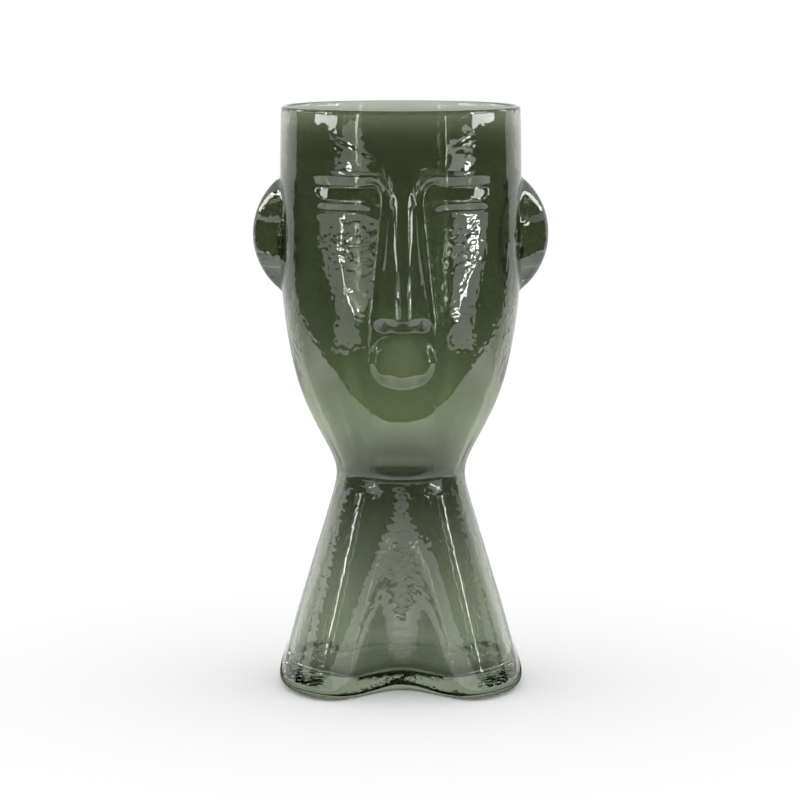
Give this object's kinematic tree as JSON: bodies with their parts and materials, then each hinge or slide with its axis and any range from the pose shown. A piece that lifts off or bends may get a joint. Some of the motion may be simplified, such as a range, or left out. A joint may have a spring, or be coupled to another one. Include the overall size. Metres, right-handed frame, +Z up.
{
  "type": "face vase",
  "caption": "Tall open vase of smoke-green glass shaped as a stylised head with ears, nose and lips in relief, on a narrow waist and a hollow flared foot with two front lobes.",
  "frame": {"origin": "on the floor, under the vertical axis of the round head", "axes": "+Z up along the head's axis, -Y the way the face looks, +X to the right as seen from the front"},
  "size_m": [0.23, 0.2076, 0.45],
  "materials": {
    "green_glass": "polished"
  },
  "bodies": {
    "root": {"head_bowl": "green_glass", "neck_foot": "green_glass", "left_ear": "green_glass", "right_ear": "green_glass", "nose": "green_glass", "left_brow": "green_glass", "right_brow": "green_glass", "left_eyelid": "green_glass", "right_eyelid": "green_glass", "upper_lip": "green_glass", "lower_lip": "green_glass"}
  },
  "joints": []
}
